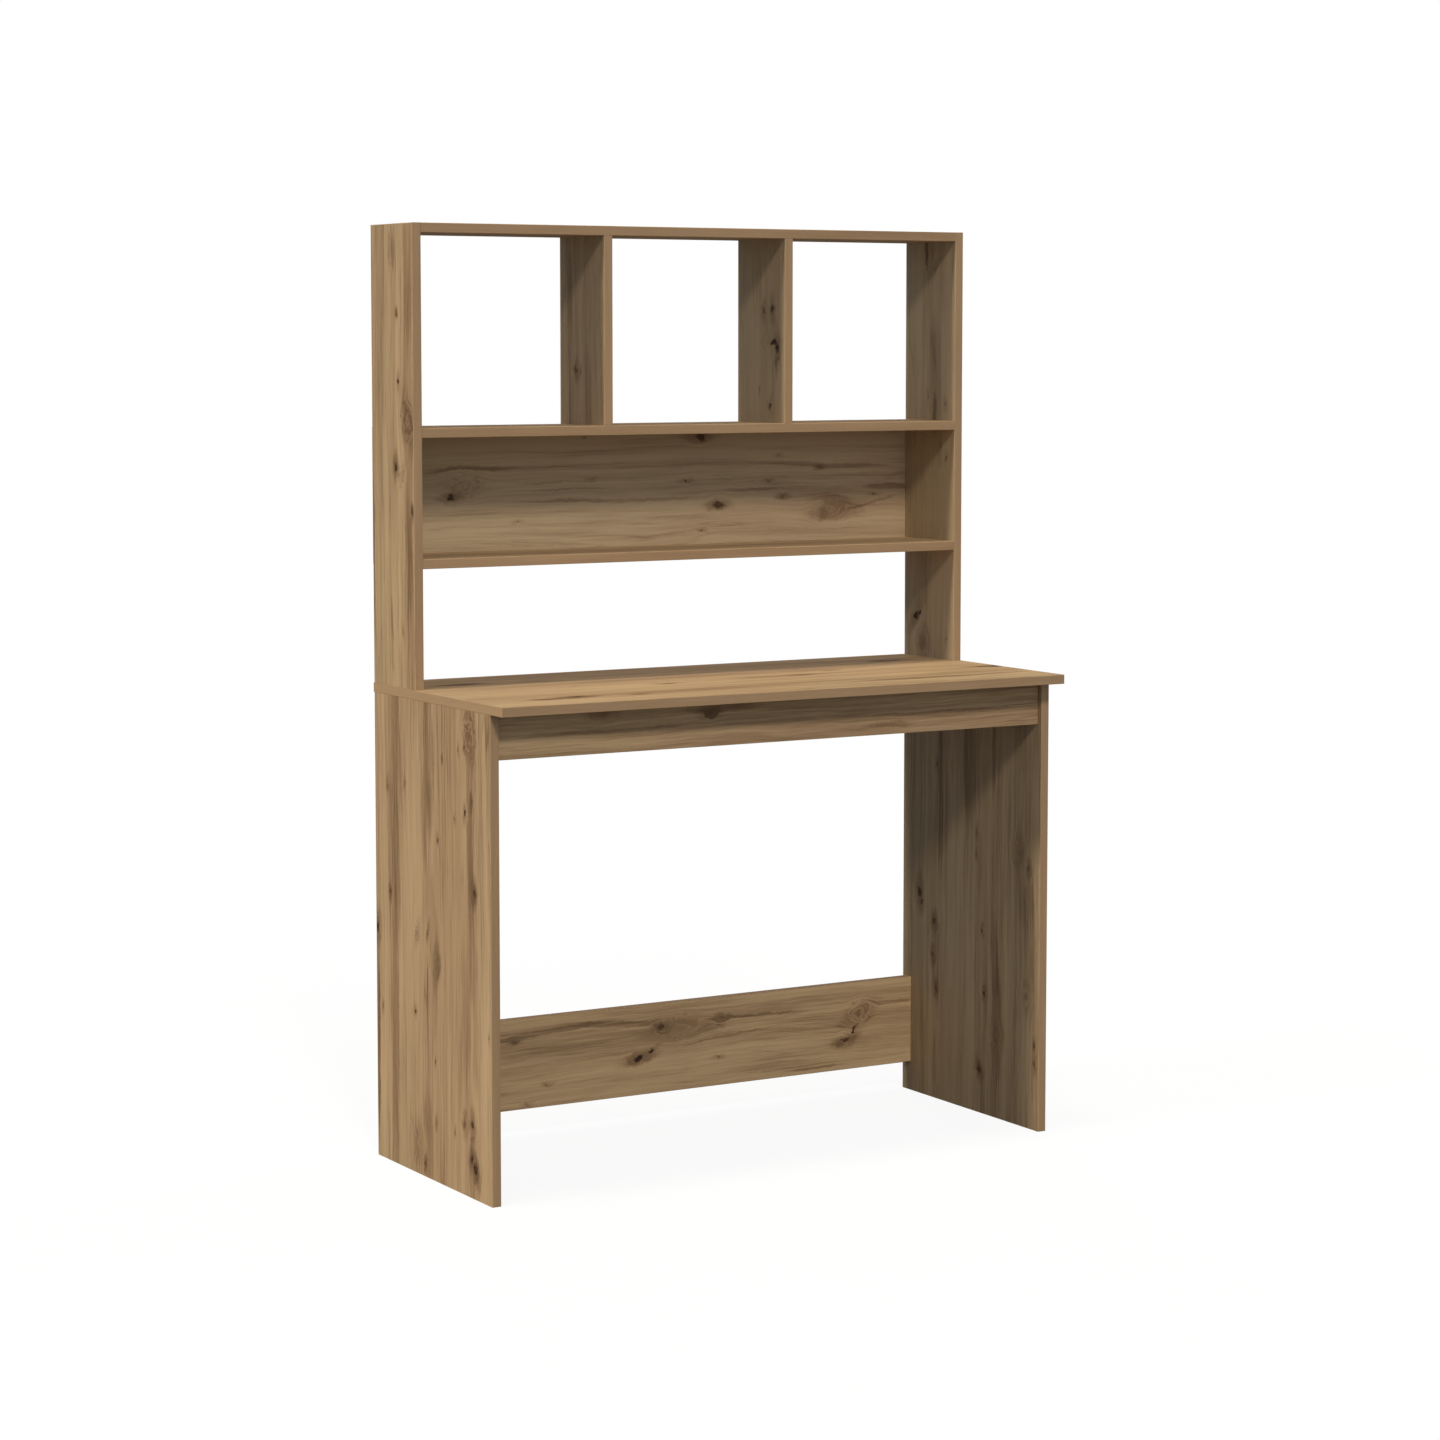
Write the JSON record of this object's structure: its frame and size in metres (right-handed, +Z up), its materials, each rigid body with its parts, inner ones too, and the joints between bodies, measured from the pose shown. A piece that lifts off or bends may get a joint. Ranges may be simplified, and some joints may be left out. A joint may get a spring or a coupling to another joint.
{
  "type": "desk with shelves",
  "caption": "Writing desk of oak-patterned board with an open shelf unit on its rear edge: upper compartments, a backed shelf, an open gap over the desktop, an apron and a low rear rail.",
  "frame": {"origin": "on the floor, under the middle of the outer box", "axes": "+Z up, +X to the right of someone who sits at the desk, +Y from the sitter towards the shelf unit and the back"},
  "size_m": [1.02, 0.45, 1.48],
  "materials": {
    "oak_board": "satin melamine with a rustic oak grain, knots and dark streaks",
    "oak_edge_band": "satin edge band printed with a plain fine oak grain",
    "thin_back_board": "thin fibreboard, satin oak print on its front, plain brown fibre behind",
    "zinc_lock": "die-cast zinc, dull grey",
    "dowel_wood": "raw beech",
    "fastening_steel": "bright zinc-plated steel"
  },
  "bodies": {
    "root": {"back_panel": "thin_back_board", "back_panel_nails": "fastening_steel", "base_side_left": "oak_board", "base_side_left_front_band": "oak_edge_band", "base_side_left_rear_band": "oak_edge_band", "base_side_right": "oak_board", "base_side_right_front_band": "oak_edge_band", "base_side_right_rear_band": "oak_edge_band", "cam_bolts_base": "fastening_steel", "cam_bolts_hutch": "fastening_steel", "cam_locks_base": "zinc_lock", "cam_locks_hutch": "zinc_lock", "desktop": "oak_board", "desktop_front_band": "oak_edge_band", "desktop_left_band": "oak_edge_band", "desktop_rear_band": "oak_edge_band", "desktop_right_band": "oak_edge_band", "divider_left": "oak_board", "divider_left_front_band": "oak_edge_band", "divider_left_rear_band": "oak_edge_band", "divider_right": "oak_board", "divider_right_front_band": "oak_edge_band", "divider_right_rear_band": "oak_edge_band", "divider_screws": "fastening_steel", "dowels_base": "dowel_wood", "dowels_hutch": "dowel_wood", "front_apron": "oak_board", "front_apron_bottom_band": "oak_edge_band", "hutch_screws": "fastening_steel", "hutch_side_left": "oak_board", "hutch_side_left_front_band": "oak_edge_band", "hutch_side_left_rear_band": "oak_edge_band", "hutch_side_left_top_band": "oak_edge_band", "hutch_side_right": "oak_board", "hutch_side_right_front_band": "oak_edge_band", "hutch_side_right_rear_band": "oak_edge_band", "hutch_side_right_top_band": "oak_edge_band", "hutch_top": "oak_board", "hutch_top_front_band": "oak_edge_band", "hutch_top_rear_band": "oak_edge_band", "lower_shelf": "oak_board", "lower_shelf_front_band": "oak_edge_band", "rear_rail": "oak_board", "rear_rail_bottom_band": "oak_edge_band", "rear_rail_top_band": "oak_edge_band", "upper_shelf": "oak_board", "upper_shelf_front_band": "oak_edge_band"}
  },
  "joints": []
}
